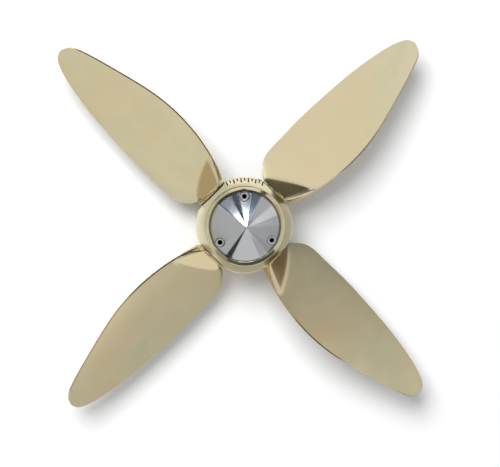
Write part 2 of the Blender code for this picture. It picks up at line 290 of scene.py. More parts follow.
@dataclass(frozen=True)
class PolishedBronze(Finish):
    """Champagne-coloured propeller bronze, buffed by hand, with faint clouds and wheel marks."""

    tint: Colour = (0.735, 0.655, 0.430)
    cloud_tint: Colour = (0.660, 0.625, 0.410)
    blush_tint: Colour = (0.750, 0.622, 0.385)
    cloud_scale: float = 30.0
    blush_scale: float = 9.0
    roughness: float = 0.17
    roughness_swing: float = 0.05
    mark_scale: float = 520.0
    mark_depth: float = 0.0000035
    mark_swing: float = 0.04
    mark_strength: float = 0.8
    wave_scale: float = 34.0
    wave_depth: float = 0.00009
    cloud_noise: Point = (4.0, 0.6)
    cloud_span: Point = (0.35, 0.68)
    blush_noise: Point = (2.0, 0.5)
    blush_span: Point = (0.40, 0.66)
    blush_share: float = 0.8
    blush_turn: Triple = (0.4, 0.2, 0.9)
    mark_noise: Point = (2.0, 0.5)
    mark_stretch: Triple = (1.0, 0.06, 1.0)
    mark_turn: Triple = (0, 0, 0.7)
    wave_noise: Point = (1.0, 0.3)
    smear_share: float = 0.6

    def shade(self, graph: Graph) -> dict:
        """Clouds in the colour, cloudy gloss, soft waves and fine wheel marks."""
        here = graph.place()
        clouds = graph.noise(here, self.cloud_scale, *self.cloud_noise)
        blush_place = graph.place(turn=self.blush_turn)
        blush = graph.noise(blush_place, self.blush_scale, *self.blush_noise)
        colour = graph.colour_mix(clouds.step(*self.cloud_span), self.tint, self.cloud_tint)
        blushing = blush.step(*self.blush_span) * self.blush_share
        colour = graph.colour_mix(blushing, colour, self.blush_tint)
        mark_place = graph.place(self.mark_stretch, self.mark_turn)
        marks = graph.noise(mark_place, self.mark_scale, *self.mark_noise)
        waves = graph.noise(here, self.wave_scale, *self.wave_noise)
        smear = graph.noise(here, self.cloud_scale * self.smear_share)
        gloss = self.roughness + (smear - 0.5) * self.roughness_swing * 2
        gloss = gloss + (marks - 0.5) * self.mark_swing
        waved = graph.bump(waves, self.wave_depth)
        return {
            "Base Color": colour,
            "Metallic": 1.0,
            "Roughness": gloss,
            "Normal": graph.bump(marks, self.mark_depth, self.mark_strength, waved),
        }


@dataclass(frozen=True)
class TurnedMetal(Finish):
    """Metal turned on a lathe about the shaft axis, with fine rings and a stretched highlight."""

    tint: Colour = (0.64, 0.65, 0.66)
    ring_tint: Colour = (0.56, 0.57, 0.59)
    roughness: float = 0.30
    stretch: float = 0.85
    ring_scale: float = 900.0
    ring_depth: float = 0.000004
    ring_noise: Point = (3.0, 0.7)
    ring_span: Point = (0.3, 0.7)
    ring_share: float = 0.5
    stain_scale: float = 30.0
    stain_noise: Point = (4.0, 0.6)
    stain_span: Point = (0.35, 0.75)
    stain_share: float = 0.4
    gloss_swing: float = 0.06
    sideways: float = 0.25

    def shade(self, graph: Graph) -> dict:
        """Rings from the distance to the shaft axis, and a faint stain."""
        x, y, z = graph.parts_of(graph.place())
        radius = (x * x + y * y) ** 0.5
        along = graph.signal("ShaderNodeCombineXYZ", "Vector", None, {0: radius, 1: z, 2: 0.0})
        rings = graph.noise(along, self.ring_scale, *self.ring_noise)
        stain = graph.noise(graph.place(), self.stain_scale, *self.stain_noise)
        shade = rings.step(*self.ring_span) * self.ring_share
        shade = shade + stain.step(*self.stain_span) * self.stain_share
        return {
            "Base Color": graph.colour_mix(shade, self.tint, self.ring_tint),
            "Metallic": 1.0,
            "Roughness": self.roughness + (stain - 0.5) * self.gloss_swing,
            "Anisotropic": self.stretch,
            "Anisotropic Rotation": self.sideways,
            "Normal": graph.bump(rings, self.ring_depth),
        }


@dataclass(frozen=True)
class Grained(Finish):
    """A surface with fine grain and with patches of a second tint: steel, rubber or filling."""

    tint: Colour
    patch_tint: Colour
    patch_span: Point
    grain_scale: float
    patch_size: float
    roughness: float
    gloss_swing: float
    grain_depth: float = 0.0
    grain_noise: Point = (3.0, 0.5)
    patch_noise: Point = (3.0, 0.5)
    metallic: float = 0.0

    def shade(self, graph: Graph) -> dict:
        """Patches in the colour, and grain in the gloss and the relief."""
        here = graph.place()
        grain = graph.noise(here, self.grain_scale, *self.grain_noise)
        patches = graph.noise(here, self.grain_scale / self.patch_size, *self.patch_noise)
        patches = patches.step(*self.patch_span)
        sockets = {
            "Base Color": graph.colour_mix(patches, self.tint, self.patch_tint),
            "Metallic": self.metallic,
            "Roughness": self.roughness + (grain - 0.5) * self.gloss_swing,
        }
        if self.grain_depth:
            sockets["Normal"] = graph.bump(grain, self.grain_depth)
        return sockets


@dataclass(frozen=True)
class PaleFloor(Finish):
    """Matt white sweep of the studio.

    Mirrored by the metal it is darker on one side, which is painted shade, and seen by the camera
    it glows far out.
    """

    tint: Colour = (0.745, 0.75, 0.76)
    second_tint: Colour = (0.73, 0.735, 0.745)
    painted_shade_tint: Colour = (0.36, 0.36, 0.35)
    painted_shade_side: float = -45.0
    painted_shade_span: Point = (-0.05, 0.26)
    sweep_glow: Colour = (0.75, 0.75, 0.75)
    sweep_span: Point = (0.42, 1.50)
    roughness: float = 0.85
    gloss: float = 0.2
    paper_scale: float = 3.0

    def shade(self, graph: Graph) -> dict:
        """Almost even white, with painted shade on one side that only the metal's reflections see.
        """
        paper = graph.noise(graph.place(), self.paper_scale)
        colour = graph.colour_mix(paper, self.tint, self.second_tint)
        across, _, _ = graph.parts_of(graph.place(turn=(0, 0, -math.radians(self.painted_shade_side))))
        mirrored = graph.signal("ShaderNodeLightPath", "Is Glossy Ray")
        seen = graph.signal("ShaderNodeLightPath", "Is Camera Ray")
        distance = graph.signal("ShaderNodeVectorMath", "Value", {"operation": "LENGTH"},
                                {0: graph.place()})
        # painted shade: in glossy rays the floor turns darker towards one side, standing in for
        # shadowed floor
        painted_shade = across.step(*self.painted_shade_span) * mirrored
        far_out = distance.step(*self.sweep_span) * seen
        return {
            "Base Color": graph.colour_mix(painted_shade, colour, self.painted_shade_tint),
            "Roughness": self.roughness,
            "Specular IOR Level": self.gloss,
            "Emission Color": graph.colour_mix(far_out, (0.0, 0.0, 0.0), self.sweep_glow),
            "Emission Strength": 1.0,
        }


BRONZE = PolishedBronze("buffed_bronze", Slot.BRONZE)
# The hub's paler, less yellow tint is painted sheen, standing in for the whiter look of its
# reflections of the bright floor; its lower roughness and shallower waves are its own buffed
# finish.
SHEENED_HUB_BRONZE = PolishedBronze("buffed_hub_bronze_painted_sheen", Slot.BRONZE, tint=(0.725, 0.670, 0.470),
                            roughness=0.13, wave_depth=0.00003)
MACHINED = TurnedMetal("lathe_bronze", Slot.MACHINED, tint=(0.66, 0.53, 0.31),
                       ring_tint=(0.56, 0.44, 0.24), roughness=0.34, stretch=0.6)
ZINC = TurnedMetal("lathe_zinc", Slot.ZINC, tint=(0.52, 0.53, 0.54), ring_tint=(0.46, 0.47, 0.485),
                   roughness=0.115, stretch=1.0)
STEEL = Grained("satin_steel", Slot.STEEL, (0.60, 0.60, 0.61), (0.47, 0.47, 0.48), (0.4, 0.75),
                grain_scale=700.0, patch_size=6.0, roughness=0.26, gloss_swing=0.12,
                grain_depth=0.000003, grain_noise=(3.0, 0.6), patch_noise=(2.0, 0.5), metallic=1.0)
# Painted shade: a darker copy of the satin steel for the key sockets, standing in for the shade
# deep in each recess.
SHADED_SOCKET = replace(STEEL, name="painted_shade_socket_steel", tint=(0.52, 0.515, 0.51),
                 patch_tint=(0.28, 0.275, 0.27), roughness=0.45)
RUBBER = Grained("greasy_rubber", Slot.RUBBER, (0.020, 0.018, 0.016), (0.045, 0.040, 0.036),
                 (0.45, 0.7), grain_scale=900.0, patch_size=12.0, roughness=0.5, gloss_swing=0.2,
                 grain_depth=0.00001)
FILL = Grained("index_fill", Slot.RUBBER, (0.012, 0.011, 0.010), (0.050, 0.040, 0.025), (0.5, 0.8),
               grain_scale=800.0, patch_size=1.0, roughness=0.45, gloss_swing=0.2)
FLOOR = PaleFloor("pale_floor", None)


# Shapes


class Shape:
    """A bmesh that grows by Blender's own operators."""

    def __init__(self) -> None:
        """Start empty."""
        self.bm = bmesh.new()

    @classmethod
    def turned(cls, profile: Sequence[Point], steps: int) -> "Shape":
        """Spin a profile about the shaft axis.

        Args:
            profile: (radius, height) points, from the axis on, or round a closed section.
            steps: sides of the round.

        Returns:
            The shape, which is closed unless its profile ends off the axis that it starts on.
        """
        shape = cls()
        bm = shape.bm
        verts = [bm.verts.new((radius, 0.0, height)) for radius, height in profile]
        edges = [bm.edges.new(pair) for pair in zip(verts, verts[1:])]
        if profile[0][0] > 0.0:
            edges.append(bm.edges.new((verts[-1], verts[0])))
        bmesh.ops.spin(bm, geom=verts + edges, axis=(0, 0, 1), cent=(0, 0, 0),
                       angle=2 * math.pi, steps=steps, use_merge=True)
        bmesh.ops.remove_doubles(bm, verts=bm.verts, dist=MERGE_DISTANCE)
        return shape

    @classmethod
    def lofted(cls, loops: Sequence[Sequence[Vector]]) -> "Shape":
        """Extrude a ring of edges from section to section and close both ends.

        Args:
            loops: sections with the same number of points.

        Returns:
            The closed shape.
        """
        shape = cls()
        bm = shape.bm
        station = bm.verts.layers.int.new("station")
        ring = bmesh.ops.create_circle(bm, cap_ends=False, segments=len(loops[0]),
                                       radius=1.0)["verts"]
        for number, vert in enumerate(ring):
            vert[station] = number
            vert.co = loops[0][number]
        edges = list(bm.edges)
        bmesh.ops.contextual_create(bm, geom=edges)
        for loop in loops[1:]:
            grown = bmesh.ops.extrude_edge_only(bm, edges=edges)["geom"]
            edges = [item for item in grown if isinstance(item, bmesh.types.BMEdge)
                     and all(v in grown for v in item.verts) and item.is_boundary]
            for item in grown:
                if isinstance(item, bmesh.types.BMVert):
                    item.co = loop[item[station]]
        bmesh.ops.contextual_create(bm, geom=edges)
        return shape

    def prism(self, sides: int, radius: float, start: float, end: float,
              place: Matrix | None = None) -> "Shape":
        """Add a regular prism between two heights.

        Args:
            sides: how many sides it has.
            radius: distance from its axis to its corners.
            start: height of its first face.
            end: height of its last face.
            place: placing matrix.

        Returns:
            This shape.
        """
        middle = Matrix.Translation((0, 0, (start + end) / 2))
        bmesh.ops.create_cone(
            self.bm, cap_ends=True, segments=sides, radius1=radius, radius2=radius,
            depth=end - start, matrix=(place or Matrix.Identity(4)) @ middle,
        )
        return self

    def block(self, size: Sequence[float], place: Matrix) -> "Shape":
        """Add a box centred by a matrix."""
        bmesh.ops.create_cube(self.bm, size=1.0, matrix=place @ Matrix.Diagonal((*size, 1.0)))
        return self

    def moved(self, place: Matrix) -> "Shape":
        """Move all of the shape by a matrix."""
        bmesh.ops.transform(self.bm, matrix=place, verts=self.bm.verts)
        return self

    def object(self, name: str) -> bpy.types.Object:
        """An object with this shape's mesh, with its faces out."""
        bmesh.ops.recalc_face_normals(self.bm, faces=self.bm.faces)
        mesh = bpy.data.meshes.new(name)
        self.bm.to_mesh(mesh)
        self.bm.free()
        made = bpy.data.objects.new(name, mesh)
        bpy.context.scene.collection.objects.link(made)
        return made


def applied(target: bpy.types.Object) -> None:
    """Turn an object's modifiers into its mesh."""
    bpy.context.view_layer.update()
    graph = bpy.context.evaluated_depsgraph_get()
    mesh = bpy.data.meshes.new_from_object(target.evaluated_get(graph))
    old = target.data
    target.modifiers.clear()
    target.data = mesh
    bpy.data.meshes.remove(old)


def cut(target: bpy.types.Object, tools: Iterable[Shape], operation: str = "DIFFERENCE") -> None:
    """Cut shapes out of an object.

    Args:
        target: the object that is cut.
        tools: closed shapes, one Boolean each.
        operation: what each Boolean does.
    """
    cutters = []
    for number, tool in enumerate(tools):
        cutter = tool.object(f"{target.name}_tool_{number}")
        modifier = target.modifiers.new(cutter.name, "BOOLEAN")
        modifier.operation = operation
        modifier.solver = "EXACT"
        modifier.object = cutter
        cutters.append(cutter)
    applied(target)
    for cutter in cutters:
        mesh = cutter.data
        bpy.data.objects.remove(cutter)
        bpy.data.meshes.remove(mesh)


def finished(target: bpy.types.Object, finish: Finish, *nodes: str,
             body: str = Body.HUB.value, sharp: float = 30.0,
             inner: Finish | None = None) -> None:
    """Dress a piece, set it on its body and put it in place of its CAD nodes.

    Args:
        target: the piece.
        finish: its finish.
        nodes: the CAD nodes that it stands for.
        body: the body that it rides on.
        sharp: edges sharper than this stay crisp, in degrees.
        inner: finish of the faces that are marked as the second material, if there are any.
    """
    mesh = target.data
    mesh.shade_smooth()
    mesh.set_sharp_from_angle(angle=math.radians(sharp))
    mesh.materials.append(finish.material())
    if inner:
        mesh.materials.append(inner.material())
    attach(target, body)
    if nodes:
        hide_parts(*nodes)
    log.info("%s: %d faces, %s on %s", target.name, len(mesh.polygons), finish.name, body)


def arc(centre: Point, radius: float, start: float, end: float, pieces: int) -> list[Point]:
    """Points along an arc from angle to angle in degrees, both ends included."""
    angles = [math.radians(start + (end - start) * i / pieces) for i in range(pieces + 1)]
    return [(centre[0] + radius * math.cos(a), centre[1] + radius * math.sin(a)) for a in angles]


def rounded(points: Sequence[Point], radius: float, pieces: int = 4) -> list[Point]:
    """Round each inner corner of an open outline.

    Args:
        points: the outline's corners.
        radius: how far from the corner the round starts, at most; a short side lets less in.
        pieces: chords in each round.

    Returns:
        The outline with rounds, as quadratic curves.
    """
    made = [points[0]]
    for before, corner, after in zip(points, points[1:], points[2:]):
        a, b, c = Vector(before), Vector(corner), Vector(after)
        reach = min(radius, (a - b).length * SIDE_SHARE, (c - b).length * SIDE_SHARE)
        start = b + (a - b).normalized() * reach
        end = b + (c - b).normalized() * reach
        for i in range(pieces + 1):
            t = i / pieces
            spot = start * (1 - t) ** 2 + b * 2 * t * (1 - t) + end * t ** 2
            made.append((spot.x, spot.y))
    made.append(points[-1])
    return made


def on_circle(radius: float, angles: Iterable[float]) -> list[Matrix]:
    """Placing matrices for things parallel to the shaft, at angles in degrees on a circle."""
    shift = Matrix.Translation((radius, 0, 0))
    return [Matrix.Rotation(math.radians(angle), 4, "Z") @ shift for angle in angles]


def radial(angle: float, height: float) -> Matrix:
    """Placing matrix whose Z runs outward from the shaft axis, at a bearing in degrees."""
    turn = Matrix.Rotation(math.radians(angle), 4, "Z") @ Matrix.Rotation(math.pi / 2, 4, "Y")
    return Matrix.Translation((0, 0, height)) @ turn


def drilled(places: Iterable[Matrix], radius: float, start: float, end: float,
            steps: int = 32) -> Shape:
    """A cutter of like round holes.

    Args:
        places: placing matrices whose Z are the axes of the holes.
        radius: their radius.
        start: place of one end along the axis.
        end: place of the other.
        steps: sides of a hole.

    Returns:
        The cutter.
    """
    tool = Shape()
    for place in places:
        tool.prism(steps, radius, start, end, place)
    return tool


def evenly(count: int, first: float = 0.0) -> list[float]:
    """Angles in degrees, evenly round the shaft."""
    return [first + 360.0 * i / count for i in range(count)]


def distances(points: np.ndarray) -> np.ndarray:
    """Distances of points from the first, along the chords."""
    return np.concatenate(([0.0], np.cumsum(np.linalg.norm(np.diff(points, axis=0), axis=1))))


def smooth_curve(points: Sequence[Point]) -> Callable[[np.ndarray], np.ndarray]:
    """A curve without kinks through points, by its share of the length.

    Args:
        points: the points, as a natural cubic spline over the chord lengths.

    Returns:
        A function from shares (0 to 1) to points.
    """
    at = np.array(points, float)
    knots = distances(at)
    gaps = np.diff(knots)
    count = len(at)
    system = np.eye(count)
    right = np.zeros_like(at)
    for i in range(1, count - 1):
        system[i, i - 1:i + 2] = gaps[i - 1], 2 * (gaps[i - 1] + gaps[i]), gaps[i]
        right[i] = 6 * ((at[i + 1] - at[i]) / gaps[i] - (at[i] - at[i - 1]) / gaps[i - 1])
    bend = np.linalg.solve(system, right)

    def place(knot: np.ndarray) -> np.ndarray:
        """Points at distances along the chords."""
        i = np.clip(np.searchsorted(knots, knot, side="right") - 1, 0, count - 2)
        gap, done = gaps[i][:, None], (knot - knots[i])[:, None]
        left = gap - done
        straight = at[i] * left / gap + at[i + 1] * done / gap
        curved = bend[i] * (left ** 3 / gap - gap * left)
        curved = curved + bend[i + 1] * (done ** 3 / gap - gap * done)
        return straight + curved / 6

    fine = np.linspace(0.0, knots[-1], CURVE_SAMPLES)
    lengths = distances(place(fine))
    return lambda shares: place(np.interp(np.asarray(shares) * lengths[-1], lengths, fine))


# Blades


@dataclass
class Blades:
    """The four leaf blades with their round feet, each set at the pitch for going ahead."""

    count: int = 4
    first_bearing: float = 45.0
    plane: float = 0.0500
    pitch: float = 25.0
    tip_radius: float = 0.280
    tip_offset: float = 0.0065
    foot_start: float = 0.0499
    foot_rim: float = 0.0009
    foot_radius: float = 0.0185
    journal_radius: float = 0.0130
    collar_radius: float = 0.0165
    collar_span: Point = (0.0370, 0.0430)
    edge: float = 0.0017
    bevel_run: float = 0.50
    root_plate: float = 0.0062
    tip_plate: float = 0.0016
    collar_length: float = 0.0016
    collar_bend: float = 1.6
    ramp_length: float = 0.0160
    ramp_skew: float = 0.0155
    ramp_limits: Point = (0.0020, 0.0290)
    ramp_slope: float = 0.24
    ramp_crease: float = 0.0008
    ramp_flatness: float = 40.0
    aft_face_share: float = 0.22
    fore_face_share: float = 0.95
    face_flatness: float = 3.0
    ribs: int = 88
    face_points: int = 37
    edge_points: int = 7
    edge_arc: float = 24.0
    edge_share: float = 0.8
    foot_edge: float = 0.0003
    sharp: float = 38.0
    raised_edge: tuple[Point, ...] = (
        (0.0542, -0.0212),
        (0.0600, -0.0245),
        (0.0750, -0.0303),
        (0.1000, -0.0365),
        (0.1350, -0.0400),
        (0.1700, -0.0374),
        (0.2050, -0.0292),
        (0.2400, -0.0190),
        (0.2640, -0.0108),
        (0.2760, -0.0032),
    )
    lower_edge: tuple[Point, ...] = (
        (0.0542, 0.0246),
        (0.0600, 0.0308),
        (0.0670, 0.0364),
        (0.0740, 0.0389),
        (0.0950, 0.0403),
        (0.1300, 0.0409),
        (0.1650, 0.0392),
        (0.2000, 0.0364),
        (0.2320, 0.0316),
        (0.2544, 0.0264),
        (0.2700, 0.0204),
        (0.2770, 0.0150),
    )

    def bearings(self) -> list[float]:
        """The directions of the blades in degrees."""
        return evenly(self.count, self.first_bearing)

    def stations(self) -> list[tuple[float, float, float]]:
        """Points round a section.

        Returns:
            For each: angle on the foot's disc, place across the leaf, turn of the skin.
        """
        half_arc = math.radians(self.edge_arc) / 2
        half = []
        for i in range(self.face_points):
            angle = half_arc + (math.pi - 2 * half_arc) * i / (self.face_points - 1)
            half.append((angle, math.cos(angle) / math.cos(half_arc), math.pi / 2))
        for i in range(1, self.edge_points + 1):
            share = i / (self.edge_points + 1)
            half.append((math.pi + (2 * share - 1) * half_arc, -1.0, math.pi * (0.5 + share)))
        return half + [(angle + math.pi, -across, turn + math.pi) for angle, across, turn in half]

    def rib(self, raised: Vector, lower: Vector) -> list[Vector]:
        """One cross-section of the leaf.

        Args:
            raised: the outline's point on the edge nearer the camera.
            lower: its point on the other edge.

        Returns:
            The section's points.
        """
        middle = (raised + lower) / 2
        across_leaf = (lower - raised).normalized()
        half = (lower - raised).length / 2
        outward = (middle.x - self.foot_start) / (self.tip_radius - self.foot_start)
        plate = self.root_plate + (self.tip_plate - self.root_plate) * outward
        past_rim = max(0.0, middle.x - self.foot_start - self.foot_rim)
        disc = max(0.0, 1.0 - past_rim / self.collar_length) ** self.collar_bend
        edge = min(self.edge, half * self.edge_share)
        points = []
        for angle, across, turn in self.stations():
            share = self.aft_face_share if math.sin(turn) > 0 else self.fore_face_share
            reach = self.ramp_length - self.ramp_skew * across
            left = min(max(reach, self.ramp_limits[0]), self.ramp_limits[1]) - past_rim
            ramp = self.ramp_slope * (left + math.hypot(left, self.ramp_crease)) / 2
            swell = share * (plate - edge) * (1 - abs(across) ** self.face_flatness)
            swell += ramp * (1 - abs(across) ** self.ramp_flatness)
            up = 1.0 - abs(1.0 - 2.0 * ((turn / math.pi) % 1.0))
            leaf_y = half * across - edge * self.bevel_run * up * across
            leaf_z = math.copysign(edge * up + swell, math.sin(turn))
            y = disc * half * math.cos(angle) + (1 - disc) * leaf_y
            z = disc * self.foot_radius * math.sin(angle) + (1 - disc) * leaf_z
            points.append(middle + across_leaf * y + Vector((0, 0, z)))
        return points

    def sections(self) -> list[list[Vector]]:
        """All sections of a blade that lies along +X, from its collar to its tip."""
        rounds = [
            (self.collar_radius, self.collar_span[0]),
            (self.collar_radius, self.collar_span[1]),
            (self.journal_radius, self.collar_span[1]),
            (self.journal_radius, self.foot_start),
            (self.foot_radius - self.foot_edge, self.foot_start),
            (self.foot_radius, self.foot_start + self.foot_edge),
        ]
        loops = [[Vector((place, radius * math.cos(a), radius * math.sin(a)))
                  for a, _, _ in self.stations()] for radius, place in rounds]
        start = self.foot_start + self.foot_rim
        tip = (self.tip_radius, self.tip_offset)
        raised = smooth_curve(((start, -self.foot_radius), *self.raised_edge, tip))
        lower = smooth_curve(((start, self.foot_radius), *self.lower_edge, tip))
        shares = [(1 - math.cos(math.pi * i / self.ribs)) / 2 for i in range(self.ribs)]
        for a, b in zip(raised(shares), lower(shares)):
            loops.append(self.rib(Vector((*a, 0)), Vector((*b, 0))))
        return loops

    def build(self) -> None:
        """Make the four blades in place."""
        loops = self.sections()
        pitch = Matrix.Rotation(-math.radians(self.pitch), 4, "X")
        lift = Matrix.Translation((0, 0, self.plane))
        for number, bearing in enumerate(self.bearings(), 1):
            place = lift @ Matrix.Rotation(math.radians(bearing), 4, "Z")
            blade = Shape.lofted(loops).moved(place @ pitch).object(f"bronze_blade_{number}")
            name = f"blade_{number}"
            finished(blade, BRONZE, name, body=name, sharp=self.sharp)


@dataclass
class BladeSeals:
    """A rubber ring under each blade foot."""

    hub: "HubShell"
    bulge_angle: float = 60.0
    bulge_pieces: int = 4
    steps: int = 72

    def build(self) -> None:
        """Make the four rings."""
        hub, blades = self.hub, self.hub.blades
        inner = blades.journal_radius + 2 * hub.running_gap
        outer = blades.foot_radius - hub.running_gap
        low = hub.flat_distance + hub.gap
        high = blades.foot_start - hub.gap
        bulge = (high - low) / 2
        swell = arc((outer - bulge, low + bulge), bulge, -self.bulge_angle, self.bulge_angle,
                    self.bulge_pieces)
        section = [(inner, low), (outer - bulge, low), *swell, (outer - bulge, high), (inner, high)]
        for number, place in enumerate(hub.blade_places(), 1):
            ring = Shape.turned(section, self.steps).moved(place)
            finished(ring.object(f"rubber_seal_{number}"), RUBBER, f"blade_seal_{number}")


# Hub


@dataclass
class HubShell:
    """The two polished halves of the hub, with flats and stepped seats for the blades."""

    blades: Blades
    height: float = 0.0790
    radius: float = 0.0538
    widest: float = 0.0660
    fore_shoulder: float = 0.0060
    fore_shoulder_radius: float = 0.0475
    fore_face_radius: float = 0.0452
    barrel_bend: float = 1.25
    aft_pieces: int = 5
    aft_stop: float = 0.0012
    aft_round: float = 0.0014
    fore_pieces: int = 9
    fore_start: float = 0.0015
    fore_round: float = 0.0010
    chamfer_foot: Point = (0.0530, 0.0692)
    lip_radius: float = 0.0440
    lip_inner_radius: float = 0.0398
    lip_drop: float = 0.0025
    groove_fillet: float = 0.0005
    lip_edge: float = 0.0007
    flat_distance: float = 0.0488
    recess_radius: float = 0.0392
    recess_floor: float = 0.0700
    bore: float = 0.0244
    nut_room: float = 0.0215
    nut_ledge: float = 0.0554
    cover_seat: Point = (0.0325, 0.0061)
    gap: float = 0.0003
    running_gap: float = 0.0004
    excess: float = 0.0100
    bolt_circle: float = 0.0387
    bolt_hole: float = 0.0029
    bolt_head_seat: Point = (0.0046, 0.0060)
    bolt_end: float = 0.0643
    cap_screw_circle: float = 0.0332
    cap_screw_angles: tuple[float, ...] = (92.0, 212.0, 332.0)
    cap_screw_hole: float = 0.0034
    cap_screw_end: float = 0.0617
    cover_screw_circle: float = 0.0283
    cover_screw_hole: float = 0.0019
    cover_hole_end: float = 0.0140
    bolts: int = 4
    cover_screws: int = 6
    plug_bearing: float = -90.0
    plug_height: float = 0.0600
    plug_seat: float = 0.0043
    plug_depth: float = 0.0076
    steps: int = 144
    port_steps: int = 72

    def barrel(self, height: float) -> Point:
        """Point on the outside of the barrel at a height."""
        down = (self.widest - height) / (self.widest - self.fore_shoulder)
        taper = (self.radius - self.fore_shoulder_radius) * down ** self.barrel_bend
        return (self.radius - taper, height)

    def barrel_run(self, low: float, high: float, pieces: int) -> list[Point]:
        """Points up the barrel between two heights."""
        return [self.barrel(low + (high - low) * i / pieces) for i in range(pieces + 1)]

    def blade_places(self) -> list[Matrix]:
        """Placing matrices whose Z is each blade's own axis."""
        return [radial(bearing, self.blades.plane) for bearing in self.blades.bearings()]

    def bolt_places(self) -> list[Matrix]:
        """Placing matrices of the bolts that clamp the halves."""
        return on_circle(self.bolt_circle, evenly(self.bolts))

    def cap_screw_places(self) -> list[Matrix]:
        """Placing matrices of the screws of the cone cap."""
        return on_circle(self.cap_screw_circle, self.cap_screw_angles)

    def cover_screw_places(self) -> list[Matrix]:
        """Placing matrices of the screws of the cover ring."""
        return on_circle(self.cover_screw_circle, evenly(self.cover_screws))

    def plug_place(self) -> Matrix:
        """Placing matrix whose Z is the axis of the grease plug."""
        return radial(self.plug_bearing, self.plug_height)

    def seats(self) -> list[Shape]:
        """Cutters for the flats and the stepped holes of the blades."""
        flats, places = Shape(), self.blade_places()
        size = (2 * self.height, 2 * self.radius, self.excess)
        beyond_flat = Matrix.Translation((0, 0, self.flat_distance + self.excess / 2))
        for place in places:
            flats.block(size, place @ beyond_flat)
        inner, outer = self.blades.collar_span
        gap = self.running_gap
        journals = drilled(places, self.blades.journal_radius + gap, inner,
                           self.flat_distance + self.excess, self.port_steps)
        collars = drilled(places, self.blades.collar_radius + gap, inner - gap, outer + gap,
                          self.port_steps)
        return [flats, journals, collars]

    def build_aft(self) -> None:
        """Make the half that carries the cone cap."""
        seam = self.blades.plane + self.gap / 2
        outside = [
            *self.barrel_run(seam, self.widest - self.aft_stop, self.aft_pieces),
            (self.radius, self.widest),
            self.chamfer_foot,
            (self.lip_radius + self.lip_edge, self.height - self.lip_edge),
            (self.lip_radius, self.height),
            (self.lip_inner_radius, self.height - self.lip_drop),
            (self.recess_radius, self.height - self.lip_drop - self.lip_edge / 2),
            (self.recess_radius, self.recess_floor + self.groove_fillet),
            (self.recess_radius - self.groove_fillet, self.recess_floor),
        ]
        profile = [
            (self.bore, seam),
            *rounded(outside, self.aft_round),
            (self.nut_room, self.recess_floor),
            (self.nut_room, self.nut_ledge),
            (self.bore, self.nut_ledge),
        ]
        half = Shape.turned(profile, self.steps).object("hub_half_aft")
        plug_end = self.barrel(self.plug_height)[0] - self.plug_depth
        cut(half, [
            *self.seats(),
            drilled(self.bolt_places(), self.bolt_hole, seam - self.excess, self.bolt_end),
            drilled(self.cap_screw_places(), self.cap_screw_hole, self.cap_screw_end, self.height),
            drilled([self.plug_place()], self.plug_seat, plug_end, self.radius + self.excess),
        ])
        finished(half, SHEENED_HUB_BRONZE, "hub_aft_half")

    def build_forward(self) -> None:
        """Make the half that the propeller lies on."""
        seam = self.blades.plane - self.gap / 2
        seat, ledge = self.cover_seat
        outside = [
            (seat, 0.0),
            (self.fore_face_radius, 0.0),
            self.barrel(self.fore_shoulder),
            *self.barrel_run(self.fore_shoulder + self.fore_start, seam, self.fore_pieces),
        ]
        profile = [*rounded(outside, self.fore_round), (self.bore, seam), (self.bore, ledge),
                   (seat, ledge)]
        half = Shape.turned(profile, self.steps).object("hub_half_forward")
        head, depth = self.bolt_head_seat
        cut(half, [
            *self.seats(),
            drilled(self.bolt_places(), self.bolt_hole, -self.excess, seam + self.excess),
            drilled(self.bolt_places(), head, -self.excess, depth),
            drilled(self.cover_screw_places(), self.cover_screw_hole, ledge - self.excess,
                    self.cover_hole_end),
        ])
        finished(half, SHEENED_HUB_BRONZE, "hub_forward_half")

    def build(self) -> None:
        """Make both halves."""
        self.build_aft()
        self.build_forward()


@dataclass
class ConeCap:
    """The turned cone over the shaft nut, with its three counterbored screws."""

    hub: HubShell
    radius: float = 0.0387
    rim: float = 0.0780
    rim_edge: float = 0.0004
    apex: float = 0.0950
    tip_radius: float = 0.0011
    dimple_depth: float = 0.0030
    dimple_taper: float = 0.85
    dimple_wall: float = 0.8
    sharp: float = 40.0
    apex_tilt: float = 18.0
    rim_tilt: float = 27.0
    room_radius: float = 0.0200
    room_height: float = 0.0060
    screw_top: float = 0.0797
    screw_height: float = 0.0060
    screw_seat: float = 0.0055
    slope_pieces: int = 28
    steps: int = 240
    hole_steps: int = 48

    def slope(self) -> list[Point]:
        """Points up the cone, which is slightly domed: steeper at its rim than at its tip."""
        shares = [i / self.slope_pieces for i in range(self.slope_pieces + 1)]
        bend = self.rim_tilt - self.apex_tilt
        tilts = [self.rim_tilt - bend * (1 - share) ** 2 for share in shares]
        drops = [0.0]
        for first, second in zip(tilts, tilts[1:]):
            drops.append(drops[-1] + math.tan(math.radians((first + second) / 2)))
        reach = self.radius - self.rim_edge - self.tip_radius
        fall = self.apex - self.rim
        points = [(self.tip_radius + reach * share, self.apex - fall * drop / drops[-1])
                  for share, drop in zip(shares, drops)]
        return points[::-1]

    def build(self) -> None:
        """Make the cap."""
        base = self.hub.recess_floor + self.hub.gap
        profile = [
            (0.0, base + self.room_height),
            (self.room_radius, base + self.room_height),
            (self.room_radius, base),
            (self.radius, base),
            (self.radius, self.rim - self.rim_edge),
            *self.slope(),
            (self.tip_radius * self.dimple_taper, self.apex - self.dimple_depth * self.dimple_wall),
            (0.0, self.apex - self.dimple_depth),
        ]
        cap = Shape.turned(profile, self.steps).object("zinc_cone")
        places = self.hub.cap_screw_places()
        seat = self.screw_top - self.screw_height - self.hub.gap
        cut(cap, [
            drilled(places, self.hub.cap_screw_hole, base - self.hub.excess, self.rim,
                    self.hole_steps),
            drilled(places, self.screw_seat, seat, self.apex, self.hole_steps),
        ])
        finished(cap, ZINC, "cone_cap", sharp=self.sharp)


# Fasteners


